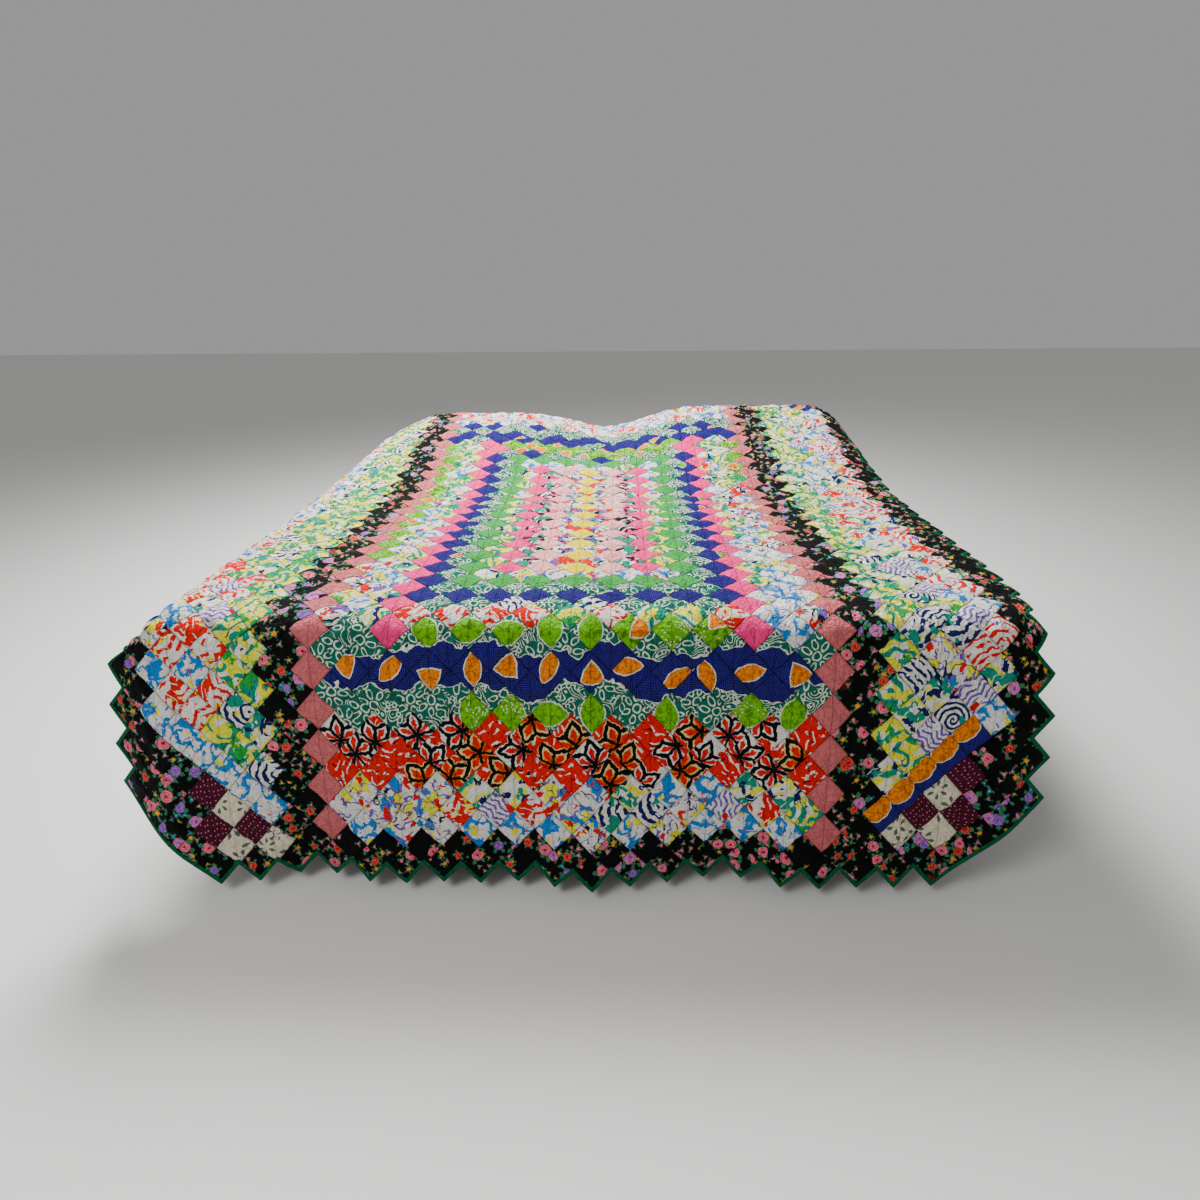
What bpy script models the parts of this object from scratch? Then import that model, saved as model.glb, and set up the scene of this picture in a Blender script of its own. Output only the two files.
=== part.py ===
import math

import bmesh
import bpy
from mathutils import Matrix, Vector

for old in list(bpy.data.objects):
    bpy.data.objects.remove(old, do_unlink=True)

# ---- driving sizes, metres unless noted -------------------------------------------------
PATCH_SIDE = 0.0635
CELL = PATCH_SIDE * math.sqrt(2.0)
QUILT_THICK = 0.006
BIND_WIDE = 0.009
BIND_THICK = 0.0070
BIND_GAP = 0.0008

# the quilt's own grid, counted in cells: u runs across, v toward the foot
HALF_WIDE = 11.5
FOOT_ROW = 6.0
MID_ROW = -8.5
CORNER_SUM = 24.0
GRID_CELLS = 56

# the bed under it, in cells of the same grid
BED_MID_U = 0.70
BED_MID_V = -11.41
CLOTH_MID_HIGH = 0.690
ROLL_RADIUS = 0.93
FOOT_START = -0.75
FOOT_TURN = math.radians(80.0)
FLAP_STRETCH = 1.10
SIDE_TURN = math.radians(84.0)
LEFT_START = -10.0
RIGHT_START = 11.40
HEAD_START = -12.3
HEAD_SQUEEZE = 0.93

# bed body
BED_WIDE = 2.066
BED_LONG = 2.063
MATTRESS_TOP = 0.6775
MATTRESS_LOW = 0.3004
EDGE_RADIUS = 0.074
CORNER_RADIUS = 0.180
BASE_HIGH = 0.300
BASE_INSET = 0.050
BASE_CORNER = 0.130
ROUND_STEPS = 6

# pillows: middle u, middle v on the bed, half width, half depth, height (cells)
PILLOWS = {
    "pillow_left": {"u": -4.85, "v": -18.10, "half_u": 4.9, "half_v": 2.85, "high": 1.20},
    "pillow_right": {"u": 6.75, "v": -18.10, "half_u": 4.9, "half_v": 2.85, "high": 1.40},
}
PILLOW_LIFT = 0.0006
PILLOW_CUTS = 9
PILLOW_SEAM_HIGH = 0.022
PILLOW_EDGE = 0.10

# long soft waves of the hanging flap: (depth, turns per cell, phase)
FLAP_WAVES = ((0.15, 1.15, 0.6), (0.13, 0.62, 2.0), (0.07, 2.30, 1.0))

COLORS = {
    "quilt": (0.62, 0.42, 0.42, 1.0),
    "binding": (0.02, 0.12, 0.06, 1.0),
    "mattress": (0.03, 0.03, 0.035, 1.0),
    "bed_base": (0.025, 0.025, 0.03, 1.0),
    "pillow_left": (0.70, 0.68, 0.64, 1.0),
    "pillow_right": (0.70, 0.68, 0.64, 1.0),
}


def ease(t):
    t = min(1.0, max(0.0, t))
    return t * t * (3.0 - 2.0 * t)


def roll_over(run, turn, stretch):
    """How far out and how far down the cloth is after a length past the start of an edge."""
    if run <= 0.0:
        return run, 0.0
    arc = ROLL_RADIUS * turn
    if run < arc:
        angle = run / ROLL_RADIUS
        return ROLL_RADIUS * math.sin(angle), ROLL_RADIUS * (1.0 - math.cos(angle))
    rest = (run - arc) * stretch
    out = ROLL_RADIUS * math.sin(turn) + rest * math.cos(turn)
    down = ROLL_RADIUS * (1.0 - math.cos(turn)) + rest * math.sin(turn)
    return out, down


def pillow_rise(u, v):
    """Height of the cloth over the two pillows, in cells."""
    t = min(1.0, max(0.0, (-10.9 - v) / 8.7))
    up = 0.7 * t + 0.3 * ease(t)
    back = 1.0 - ease((-19.9 - v) / 3.0)
    left = 1.0 - ease((-7.0 - u) / 5.0)
    right = 1.0 - ease((u - 10.3) / 3.6)
    top = 1.72 + 0.30 * ease((u + 2.0) / 8.0)
    dip = 1.0 - 0.42 * math.exp(-(((u - 0.75) / 2.2) ** 2))
    return top * up * back * left * right * dip


def drape(u, v):
    """Middle of the cloth for a place on the flat quilt."""
    out, down = roll_over(v - FOOT_START, FOOT_TURN, FLAP_STRETCH)
    along = FOOT_START + out
    if v < HEAD_START:
        along = HEAD_START + HEAD_SQUEEZE * (v - HEAD_START)
    level = ease((v + 1.2) / 2.2)
    corner = math.exp(-(((v + 0.2) / 1.3) ** 2))
    across = u
    side_down = 0.0
    past_left = LEFT_START - u
    if past_left > 0.0:
        side_out, side_fall = roll_over(past_left, SIDE_TURN, 1.0)
        across = LEFT_START - side_out * (1.0 - level) - past_left * level
        side_down = side_fall * (1.0 - level)
        along -= 0.07 * past_left * past_left * level
        across += 0.10 * past_left * past_left * corner
    past_right = u - RIGHT_START
    if past_right > 0.0:
        side_out, side_fall = roll_over(past_right, SIDE_TURN, 1.0)
        across = RIGHT_START + side_out * (1.0 - level) + past_right * level
        side_down = side_fall * (1.0 - level)
    if u > 10.0:
        across -= 0.10 * (u - 10.0) ** 2 * corner
    deep = max(0.0, down - 0.8) / 6.3
    for depth, turns, phase in FLAP_WAVES:
        along += deep * depth * math.sin(turns * u + phase)
    high = pillow_rise(u, v) - down - side_down
    return (
        (across - BED_MID_U) * CELL,
        (BED_MID_V - along) * CELL,
        CLOTH_MID_HIGH + high * CELL,
    )


def cloth_point(u, v, lift):
    """The cloth's middle, moved along its normal by lift metres."""
    step = 0.02
    run = Vector(drape(u + step, v)) - Vector(drape(u - step, v))
    rise = Vector(drape(u, v - step)) - Vector(drape(u, v + step))
    return Vector(drape(u, v)) + lift * run.cross(rise).normalized()


def has_patch(u, v):
    """Whether the quilt has a patch whose middle is here; its corners are cut off on the slant."""
    wide = abs(u) < HALF_WIDE + 0.1
    long = abs(v - MID_ROW) < FOOT_ROW - MID_ROW + 0.1
    return wide and long and abs(u) + abs(v - MID_ROW) < CORNER_SUM + 0.1


def flat_patches():
    """The flat quilt, one square face a patch, standing on its corners; x is u and y is v."""
    bm = bmesh.new()
    half = (GRID_CELLS // 2) * PATCH_SIDE / CELL
    bmesh.ops.create_grid(bm, x_segments=GRID_CELLS, y_segments=GRID_CELLS, size=half)
    turn = Matrix.Rotation(math.radians(45.0), 4, "Z")
    shift = Matrix.Translation((0.0, MID_ROW + 0.5, 0.0))
    bmesh.ops.transform(bm, matrix=shift @ turn, verts=bm.verts)
    outside = []
    for face in bm.faces:
        middle = face.calc_center_median()
        if not has_patch(middle.x, middle.y):
            outside.append(face)
    bmesh.ops.delete(bm, geom=outside, context="FACES")
    return bm


def split_edge_band(bm, width):
    """Cuts a band of one width along the zigzag edge and returns its faces."""
    ring = bmesh.ops.inset_region(bm, faces=bm.faces, thickness=width / CELL,
                                  use_boundary=True, use_even_offset=True)
    return ring["faces"]


def fold_patches(bm):
    """Splits each patch along the bed edge that it bends over."""
    for face in bm.faces[:]:
        middle = face.calc_center_median()
        past_side = middle.x < LEFT_START or middle.x > RIGHT_START - 1.0
        axis = 1 if past_side and middle.y < FOOT_START else 0
        ends = sorted(face.verts, key=lambda vert: vert.co[axis])
        bmesh.utils.face_split(face, ends[0], ends[-1])


def lay_on_bed(bm, thickness):
    """Thickens the flat cloth and moves it onto the bed."""
    upper = bmesh.ops.extrude_face_region(bm, geom=bm.faces[:])["geom"]
    upper = [item for item in upper if isinstance(item, bmesh.types.BMVert)]
    bmesh.ops.translate(bm, vec=(0.0, 0.0, thickness), verts=upper)
    for vert in bm.verts:
        vert.co = cloth_point(vert.co.x, vert.co.y, vert.co.z - thickness / 2.0)
    bmesh.ops.triangulate(bm, faces=bm.faces)
    bmesh.ops.recalc_face_normals(bm, faces=bm.faces)


def add_object(name, bm, collection):
    mesh = bpy.data.meshes.new(name)
    bm.to_mesh(mesh)
    bm.free()
    material = bpy.data.materials.new(name)
    material.use_nodes = True
    shader = material.node_tree.nodes["Principled BSDF"]
    shader.inputs["Base Color"].default_value = COLORS[name]
    shader.inputs["Roughness"].default_value = 0.85
    shader.inputs["Metallic"].default_value = 0.0
    mesh.materials.append(material)
    item = bpy.data.objects.new(name, mesh)
    collection.objects.link(item)
    return item


def build_quilt(collection):
    """The quilt sheet, inside its edge strip."""
    bm = flat_patches()
    band = split_edge_band(bm, BIND_WIDE + BIND_GAP)
    bmesh.ops.delete(bm, geom=band, context="FACES")
    fold_patches(bm)
    lay_on_bed(bm, QUILT_THICK)
    add_object("quilt", bm, collection)


def build_binding(collection):
    """The strip sewn along the zigzag edge."""
    bm = flat_patches()
    band = set(split_edge_band(bm, BIND_WIDE))
    patches = [face for face in bm.faces if face not in band]
    bmesh.ops.delete(bm, geom=patches, context="FACES")
    lay_on_bed(bm, BIND_THICK)
    add_object("binding", bm, collection)


def build_block(name, collection, wide, long, low, high, corner, edge):
    """A block with rounded upright corners and, where edge is not 0, a rounded top edge."""
    bm = bmesh.new()
    bmesh.ops.create_cube(bm, size=1.0)
    bmesh.ops.scale(bm, vec=(wide, long, high - low), verts=bm.verts)
    bmesh.ops.translate(bm, vec=(0.0, 0.0, (low + high) / 2.0), verts=bm.verts)
    upright = [e for e in bm.edges if abs(e.verts[0].co.z - e.verts[1].co.z) > 0.01]
    bmesh.ops.bevel(bm, geom=upright, offset=corner, segments=ROUND_STEPS, affect="EDGES",
                    profile=0.5, material=-1)
    if edge > 0.0:
        top = [e for e in bm.edges if all(abs(v.co.z - high) < 1e-5 for v in e.verts)]
        bmesh.ops.bevel(bm, geom=top, offset=edge, segments=ROUND_STEPS, affect="EDGES",
                        profile=0.5, material=-1)
    add_object(name, bm, collection)


def build_pillow(name, collection, size):
    """A plain pillow on the mattress: a fine cube pulled to a crowned pad with a low seam."""
    bm = bmesh.new()
    bmesh.ops.create_cube(bm, size=2.0)
    bmesh.ops.subdivide_edges(bm, edges=bm.edges, cuts=PILLOW_CUTS, use_grid_fill=True)
    mid_x = (size["u"] - BED_MID_U) * CELL
    mid_y = (BED_MID_V - size["v"]) * CELL
    seam = MATTRESS_TOP + PILLOW_LIFT + PILLOW_SEAM_HIGH
    rise = size["high"] * CELL - PILLOW_SEAM_HIGH
    for vert in bm.verts:
        a = math.sin(vert.co.x * math.pi / 2.0)
        b = math.sin(vert.co.y * math.pi / 2.0)
        c = vert.co.z
        swell = PILLOW_EDGE + (1.0 - PILLOW_EDGE) * math.sqrt((1.0 - a ** 4) * (1.0 - b ** 4))
        draw_in = 1.0 - 0.07 * (a * b) ** 2
        vert.co.x = mid_x + size["half_u"] * CELL * a * draw_in * (1.0 - 0.04 * (1.0 - b * b))
        vert.co.y = mid_y + size["half_v"] * CELL * b * draw_in * (1.0 - 0.05 * (1.0 - a * a))
        vert.co.z = seam + c * swell * (rise if c > 0.0 else PILLOW_SEAM_HIGH)
    bmesh.ops.triangulate(bm, faces=bm.faces)
    add_object(name, bm, collection)


def main():
    collection = bpy.data.collections.new("patchwork_quilt_on_bed")
    bpy.context.scene.collection.children.link(collection)
    build_quilt(collection)
    build_binding(collection)
    build_block("mattress", collection, BED_WIDE, BED_LONG, MATTRESS_LOW, MATTRESS_TOP,
                CORNER_RADIUS, EDGE_RADIUS)
    base_wide = BED_WIDE - 2.0 * BASE_INSET
    base_long = BED_LONG - 2.0 * BASE_INSET
    build_block("bed_base", collection, base_wide, base_long, 0.0, BASE_HIGH, BASE_CORNER, 0.0)
    for name, size in PILLOWS.items():
        build_pillow(name, collection, size)


main()
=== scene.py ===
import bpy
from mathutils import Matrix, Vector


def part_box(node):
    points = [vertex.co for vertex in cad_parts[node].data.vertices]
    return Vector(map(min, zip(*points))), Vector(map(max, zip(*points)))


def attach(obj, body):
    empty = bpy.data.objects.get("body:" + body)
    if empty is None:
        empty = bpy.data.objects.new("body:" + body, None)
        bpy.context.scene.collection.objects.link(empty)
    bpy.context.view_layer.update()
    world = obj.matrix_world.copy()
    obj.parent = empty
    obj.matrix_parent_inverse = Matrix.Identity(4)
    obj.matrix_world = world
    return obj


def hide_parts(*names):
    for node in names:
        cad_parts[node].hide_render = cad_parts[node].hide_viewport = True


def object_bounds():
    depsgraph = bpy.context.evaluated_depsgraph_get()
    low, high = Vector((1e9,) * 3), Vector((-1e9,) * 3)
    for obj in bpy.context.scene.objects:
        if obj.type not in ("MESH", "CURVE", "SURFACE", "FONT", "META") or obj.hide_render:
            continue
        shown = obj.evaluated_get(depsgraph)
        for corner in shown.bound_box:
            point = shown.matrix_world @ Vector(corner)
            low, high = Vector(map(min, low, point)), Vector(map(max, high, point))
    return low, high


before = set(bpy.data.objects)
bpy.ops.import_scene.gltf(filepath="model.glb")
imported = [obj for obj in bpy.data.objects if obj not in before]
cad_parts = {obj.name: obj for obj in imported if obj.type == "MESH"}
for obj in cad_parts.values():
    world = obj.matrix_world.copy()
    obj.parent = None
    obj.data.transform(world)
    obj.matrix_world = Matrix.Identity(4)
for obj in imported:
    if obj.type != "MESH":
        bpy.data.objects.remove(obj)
import inspect
import math

import bmesh
import bpy
import numpy as np
from mathutils import Matrix, Vector

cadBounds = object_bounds()
print("frame loaded")

# the quilt's own grid: u runs across and v toward the foot, both counted in cells,
# where a cell is the diagonal of one patch and patches stand on their corners
quilt = {
    "patchSide": 0.0635,
    "halfWide": 11.5,
    "footRow": 6.0,
    "midRow": -8.5,
    "cornerSum": 24.0,
    "gridCells": 56,
    "fineCuts": 8,          # small faces along one patch side, upper skin
    "backCuts": 3,
    "halfThick": 0.003,
    "puff": 0.0056,         # how far a patch stands above its seams
    "stitchDip": 0.0016,    # quilting lines run lengthwise through the tips
    "crumple": 0.0084,      # height of each short wave for its length
    "crumpleWaves": 26,
    "crumpleShort": 0.024,
    "crumpleSpread": 0.045,
    "longSwell": 0.0012,
    "shortSwell": 0.0008,
    "seamWide": 0.006,      # how far in from a seam the puff grows
    "stitchWide": 0.005,
    "pucker": 0.0007,
    "puckerWide": 0.012,
    "looseFrom": 0.03,      # how far from the edge the cloth crumples freely
    "topLow": 0.0012,       # what the upper skin starts below the true top
    "edgeThick": 0.0008,    # what is left of halfThick inside the binding
    "bolt": 9.0,            # metres of printed cloth each patch may be cut from
    "bindingWide": 0.0092,
    "bindingThick": 0.0086,
    "bindingRound": 0.0026,
}
cell = quilt["patchSide"] * math.sqrt(2.0)
fullTurn = 2.0 * math.pi

# the way it lies on the bed, in cells unless it ends in Turn (radians) or High (metres)
lay = {
    "midU": 0.70, "midV": -11.41, "midHigh": 0.690,
    "roll": 0.93, "footStart": -0.75, "footTurn": math.radians(80.0), "flapStretch": 1.10,
    "sideTurn": math.radians(84.0), "leftStart": -10.0, "rightStart": 11.40,
    "headStart": -12.3, "headSqueeze": 0.93,
}
# soft waves of the hanging flap: depth in cells, turns per cell, phase
flapWaves = ((0.15, 1.15, 0.6), (0.13, 0.62, 2.0), (0.07, 2.30, 1.0))
# creases that show in the looks only: u, v, half width, half length (cells), depth (metres)
creases = (
    (-7.35, 6.2, 0.40, 1.6, -0.016),
    (-10.6, 3.6, 0.70, 2.6, 0.010),
    (3.4, 5.6, 0.60, 2.2, -0.006),
    (8.9, 5.4, 0.55, 1.9, -0.008),
    (10.9, 3.9, 0.50, 1.6, 0.008),
    (-2.2, -12.6, 2.60, 0.35, -0.004),
    (4.6, -13.4, 2.20, 0.30, -0.004),
    (-9.0, -3.0, 0.50, 3.0, 0.003),
)


def ease(t):
    t = np.clip(t, 0.0, 1.0)
    return t * t * (3.0 - 2.0 * t)


def rollOver(run, turn, stretch):
    # how far out and how far down the cloth is, a length past the start of an edge
    radius = lay["roll"]
    arc = radius * turn
    angle = np.clip(run / radius, 0.0, turn)
    rest = np.maximum(run - arc, 0.0) * stretch
    out = radius * np.sin(angle) + rest * math.cos(turn) + np.minimum(run, 0.0)
    down = radius * (1.0 - np.cos(angle)) + rest * math.sin(turn)
    return out, down


# the hump over the pillows, in cells: where each of its edges starts and how far it runs
hump = {
    "front": (-10.9, -8.7), "back": (-19.9, -3.0), "left": (-7.0, -5.0), "right": (10.3, 3.6),
    "high": 1.72, "higherRight": 0.30, "dip": 0.42, "dipAt": 0.75, "dipWide": 2.2,
}


def pastEdge(name, place):
    start, run = hump[name]
    return (place - start) / run


def pillowRise(u, v):
    climb = np.clip(pastEdge("front", v), 0.0, 1.0)
    up = 0.7 * climb + 0.3 * ease(climb)
    for name, place in (("back", v), ("left", u), ("right", u)):
        up = up * (1.0 - ease(pastEdge(name, place)))
    top = hump["high"] + hump["higherRight"] * ease((u + 2.0) / 8.0)
    return top * up * (1.0 - hump["dip"] * np.exp(-(((u - hump["dipAt"]) / hump["dipWide"]) ** 2)))


def drape(u, v):
    out, down = rollOver(v - lay["footStart"], lay["footTurn"], lay["flapStretch"])
    along = np.where(v < lay["headStart"],
                     lay["headStart"] + lay["headSqueeze"] * (v - lay["headStart"]),
                     lay["footStart"] + out)
    level = ease((v + 1.2) / 2.2)
    corner = np.exp(-(((v + 0.2) / 1.3) ** 2))
    deep = np.maximum(down - 0.8, 0.0) / 6.3
    pastLeft = np.maximum(lay["leftStart"] - u, 0.0)
    across = u + 0.10 * pastLeft ** 2 * corner - 0.10 * np.maximum(u - 10.0, 0.0) ** 2 * corner
    along = along - 0.07 * pastLeft ** 2 * level
    for past, way in ((pastLeft, 1.0), (np.maximum(u - lay["rightStart"], 0.0), -1.0)):
        sideOut, sideDown = rollOver(past, lay["sideTurn"], 1.0)
        across = across + way * (past - sideOut) * (1.0 - level)
        down = down + sideDown * (1.0 - level)
    for depth, turns, phase in flapWaves:
        along = along + deep * depth * np.sin(turns * u + phase)
    return np.stack([(across - lay["midU"]) * cell, (lay["midV"] - along) * cell,
                     lay["midHigh"] + (pillowRise(u, v) - down) * cell], axis=-1)


def clothPlace(flat, lift):
    # flat places (metres) carried onto the bed and moved along the cloth's normal
    u, v = flat[:, 0] / cell, flat[:, 1] / cell
    near = 0.02
    run = drape(u + near, v) - drape(u - near, v)
    rise = drape(u, v - near) - drape(u, v + near)
    normal = np.cross(run, rise)
    normal /= np.linalg.norm(normal, axis=1)[:, None]
    return drape(u, v) + normal * lift[:, None]


def hasPatch(u, v):
    wide = np.abs(u) < quilt["halfWide"] + 0.1
    long = np.abs(v - quilt["midRow"]) < quilt["footRow"] - quilt["midRow"] + 0.1
    return wide & long & (np.abs(u) + np.abs(v - quilt["midRow"]) < quilt["cornerSum"] + 0.1)


def patchKey(flat):
    # which patch a flat place is in, the middle of that patch, and where in it, 0 to 1 each way
    u, v = flat[:, 0] / cell, flat[:, 1] / cell
    s, t = np.floor(u + v), np.floor(u - v)
    return s.astype(int), t.astype(int), (s + t + 1.0) / 2.0, (s - t) / 2.0, u + v - s, u - v - t


def edgeDistance(flat):
    # metres from the zigzag edge, for places inside the quilt
    midU, midV, a, b = patchKey(flat)[2:]
    far = np.full(len(a), 9.0)
    for ds, dt, reach in ((-1, 0, a), (1, 0, 1.0 - a), (0, -1, b), (0, 1, 1.0 - b),
                          (-1, -1, np.hypot(a, b)), (1, 1, np.hypot(1.0 - a, 1.0 - b)),
                          (-1, 1, np.hypot(a, 1.0 - b)), (1, -1, np.hypot(1.0 - a, b))):
        there = hasPatch(midU + (ds + dt) / 2.0, midV + (ds - dt) / 2.0)
        far = np.where(there, far, np.minimum(far, reach))
    return np.where(hasPatch(midU, midV), far, 0.0) * quilt["patchSide"]


def flatCloth(cuts):
    # the flat quilt as a grid turned onto its corners, in metres, cut to the zigzag outline
    bm = bmesh.new()
    count = quilt["gridCells"] * cuts
    bmesh.ops.create_grid(bm, x_segments=count, y_segments=count,
                          size=quilt["gridCells"] * quilt["patchSide"] / 2.0)
    shift = Matrix.Translation((0.0, (quilt["midRow"] + 0.5) * cell, 0.0))
    bmesh.ops.transform(bm, matrix=shift @ Matrix.Rotation(math.radians(45.0), 4, "Z"), verts=bm.verts)
    middles = np.array([face.calc_center_median()[:2] for face in bm.faces])
    keep = hasPatch(*patchKey(middles)[2:4])
    outside = [face for face, kept in zip(bm.faces, keep) if not kept]
    bmesh.ops.delete(bm, geom=outside, context="FACES")
    return bm


def meshObject(name, bm):
    mesh = bpy.data.meshes.new(name)
    bm.to_mesh(mesh)
    bm.free()
    made = bpy.data.objects.new(name, mesh)
    bpy.context.scene.collection.objects.link(made)
    return made


def readPlaces(mesh):
    places = np.empty(len(mesh.vertices) * 3)
    mesh.vertices.foreach_get("co", places)
    return places.reshape(-1, 3)


def writePlaces(mesh, places):
    mesh.vertices.foreach_set("co", places.ravel())
    mesh.update()


def finished(made, *materials):
    for material in materials:
        made.data.materials.append(material)
    made.data.polygons.foreach_set("use_smooth", [True] * len(made.data.polygons))
    return made


def atCorners(mesh, places):
    # the places of each face's corners, face by face
    order = np.empty(len(mesh.loops), dtype=np.int64)
    mesh.loops.foreach_get("vertex_index", order)
    return places[order]


def writeUv(mesh, name, values):
    uvs = mesh.uv_layers.new(name=name)
    uvs.data.foreach_set("uv", np.asarray(values, dtype=np.float32).ravel())


def writeClothUvs(mesh, values):
    # one way of laying the cloth, for the weave and for the print on it
    writeUv(mesh, "flat", values)
    writeUv(mesh, "print", values)


def linear(*channels):
    # a dye's 0 to 255 red, green and blue as the shader wants them
    return (*(((c / 255.0 + 0.055) / 1.055) ** 2.4 if c > 10 else c / 255.0 / 12.92 for c in channels), 1.0)


class Wire:
    # a shader value to reckon with: each + - * / adds a math node, and a vector is multiplied by one number
    def __init__(self, tree, socket):
        self.tree = tree
        self.socket = socket
        self.isVector = socket.type in ("VECTOR", "RGBA")

    def __add__(self, other):
        return reckon("ADD", self, other)

    def __sub__(self, other):
        return reckon("SUBTRACT", self, other)

    def __rsub__(self, other):
        return reckon("SUBTRACT", other, self)

    def __mul__(self, other):
        return reckon("SCALE" if self.isVector else "MULTIPLY", self, other)

    def __truediv__(self, other):
        return reckon("DIVIDE", self, other)

    def bounce(self, height=0.5):
        return reckon("PINGPONG", self, height)

    def size(self):
        return reckon("ABSOLUTE", self)

    def most(self, other):
        return reckon("MAXIMUM", self, other)


def reckon(operation, *values):
    wire = [value for value in values if isinstance(value, Wire)][0]
    node = put(wire.tree, "VectorMath" if wire.isVector else "Math", {"operation": operation})
    sockets = (node.inputs[0], node.inputs["Scale"]) if operation == "SCALE" else node.inputs
    for socket, value in zip(sockets, values):
        feed(wire.tree, socket, value)
    return Wire(wire.tree, node.outputs["Value" if operation == "LENGTH" else 0])


def feed(tree, socket, value):
    if isinstance(value, Wire):
        tree.links.new(value.socket, socket)
    else:
        socket.default_value = value


def put(tree, kind, settings=None, **sockets):
    node = tree.nodes.new("ShaderNode" + kind)
    for key, value in (settings or {}).items():
        setattr(node, key, value)
    for key, value in sockets.items():
        feed(tree, node.inputs[key.replace("_", " ")], value)
    return node


def outputsOf(tree, node):
    return {output.name: Wire(tree, output) for output in node.outputs}


def wired(kind, out, settings=None, **sockets):
    # a node's one result, on the tree that its first socket comes from
    tree = list(sockets.values())[0].tree
    return Wire(tree, put(tree, kind, settings, **sockets).outputs[out])


def turned(vector, angle):
    return wired("VectorRotate", 0, {"rotation_type": "Z_AXIS"}, Vector=vector, Angle=angle)


def parts(vector):
    node = put(vector.tree, "SeparateXYZ", Vector=vector)
    return [Wire(vector.tree, output) for output in node.outputs[:2]]


def joined(x, y):
    return wired("CombineXYZ", 0, X=x, Y=y)


def step(value, low, high):
    # 0 at low and 1 at high, eased; low may be the larger
    return wired("MapRange", "Result", {"interpolation_type": "SMOOTHSTEP"}, Value=value, From_Min=low,
                 From_Max=high)


def mixColor(tree, factor, first, second, blend="MIX"):
    node = put(tree, "Mix", {"data_type": "RGBA", "blend_type": blend})
    for place, value in ((0, factor), (6, first), (7, second)):
        feed(tree, node.inputs[place], value)
    return Wire(tree, node.outputs[2])


def noise(vector, scale, detail=2, out="Fac"):
    return wired("TexNoise", out, {"noise_dimensions": "2D"}, Vector=vector, Scale=scale, Detail=detail)


def warped(vector, scale, amount):
    # the vector pushed about by soft noise, by amount in the vector's own units
    return vector + (noise(vector, scale, 1, "Color") - (0.5, 0.5, 0.5)) * amount


def polar(vector):
    x, y = parts(vector)
    return reckon("LENGTH", joined(x, y)), reckon("ARCTAN2", y, x)


def cellsIn(vector, scale, randomness):
    # what is known of the nearest of many scattered points
    return outputsOf(vector.tree, put(vector.tree, "TexVoronoi", {"voronoi_dimensions": "2D"}, Vector=vector,
                                      Scale=scale, Randomness=randomness))


def scattered(place, randomness):
    # distance and angle from the nearest point, and three picks that go with it
    cells = cellsIn(place, 1, randomness)
    picks = put(place.tree, "SeparateColor", Color=cells["Color"]).outputs
    return *polar(place - cells["Position"]), [Wire(place.tree, pick) for pick in picks]


def fromPetalAxis(angle, count):
    # 0 on a petal's middle line, 1 halfway to the next petal
    return (angle * count / fullTurn).bounce() * 2


def stripe(value, width, soft=0.06):
    # parallel bands, width being the share of each turn that is filled
    half = width * 0.5
    return step(value.bounce(), half, half - soft)


def band(value, middle, half, soft):
    return step((value - middle).size(), half, half - soft)


def inked(vector, scale, breaks):
    # 1 where the brush touched the cloth, 0 where it skipped
    return step(noise(vector, scale, 1), breaks, breaks + 0.03)


def aside(luck, reach):
    return (luck - (0.5, 0.5, 0)) * reach


def asGroup(motif):
    # makes a function a node group: values with a default are its numbers, the others its vectors,
    # and what the function hands back are the group's outputs
    tree = bpy.data.node_groups.new(motif.__name__, "ShaderNodeTree")
    given = inspect.signature(motif).parameters
    for label, item in given.items():
        kind = "NodeSocketVector" if item.default is item.empty else "NodeSocketFloat"
        socket = tree.interface.new_socket(label, in_out="INPUT", socket_type=kind)
        if kind == "NodeSocketFloat":
            socket.default_value = item.default
    entries = tree.nodes.new("NodeGroupInput").outputs
    made = motif(**{label: Wire(tree, entries[label]) for label in given})
    for label in made:
        tree.interface.new_socket(label, in_out="OUTPUT", socket_type="NodeSocketFloat")
    exits = tree.nodes.new("NodeGroupOutput").inputs
    for label, wire in made.items():
        tree.links.new(wire.socket, exits[label])
    return motif


# printed motifs, each a node group that puts out masks
# vector is in metres, or in cells from the patch's middle for the motifs that sit one to a patch;
# luck is the patch's own pair of chances


@asGroup
def splodges(vector, scale=30, amount=0.5, edge=0.02, warp=0.012, hollow=0.12):
    # blots of dye with bare cloth inside
    field = noise(warped(vector, 95, warp), scale, 1)
    low = 1 - amount
    deep = low + hollow
    return {"mask": step(field, low, low + edge), "core": step(field, deep, deep + edge)}


@asGroup
def brushBands(vector, scale=40, bend=0.03, width=0.45, breaks=0.3, turn=0, rim=0):
    # curved parallel brush strokes, broken here and there, each with a second colour along it
    place = warped(turned(vector, turn), 22, bend)
    wave = (parts(warped(place, 150, 0.003))[0] * scale).bounce()
    half = width * 0.5
    wide = half + rim * 0.5
    core = step(wave, half, half - 0.05)
    whole = step(wave, wide, wide - 0.05)
    gaps = inked(vector, 48, breaks)
    return {"mask": core * gaps, "edge": (whole - core) * gaps}


@asGroup
def zigzags(vector, scale=60, width=0.5, breaks=0.3):
    # rough zigzag stripes
    x, y = parts(warped(vector, 70, 0.008) * scale)
    teeth = (x * 0.5).bounce(0.7)
    return {"mask": stripe(y + teeth, width) * inked(vector, 38, breaks)}


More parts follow.
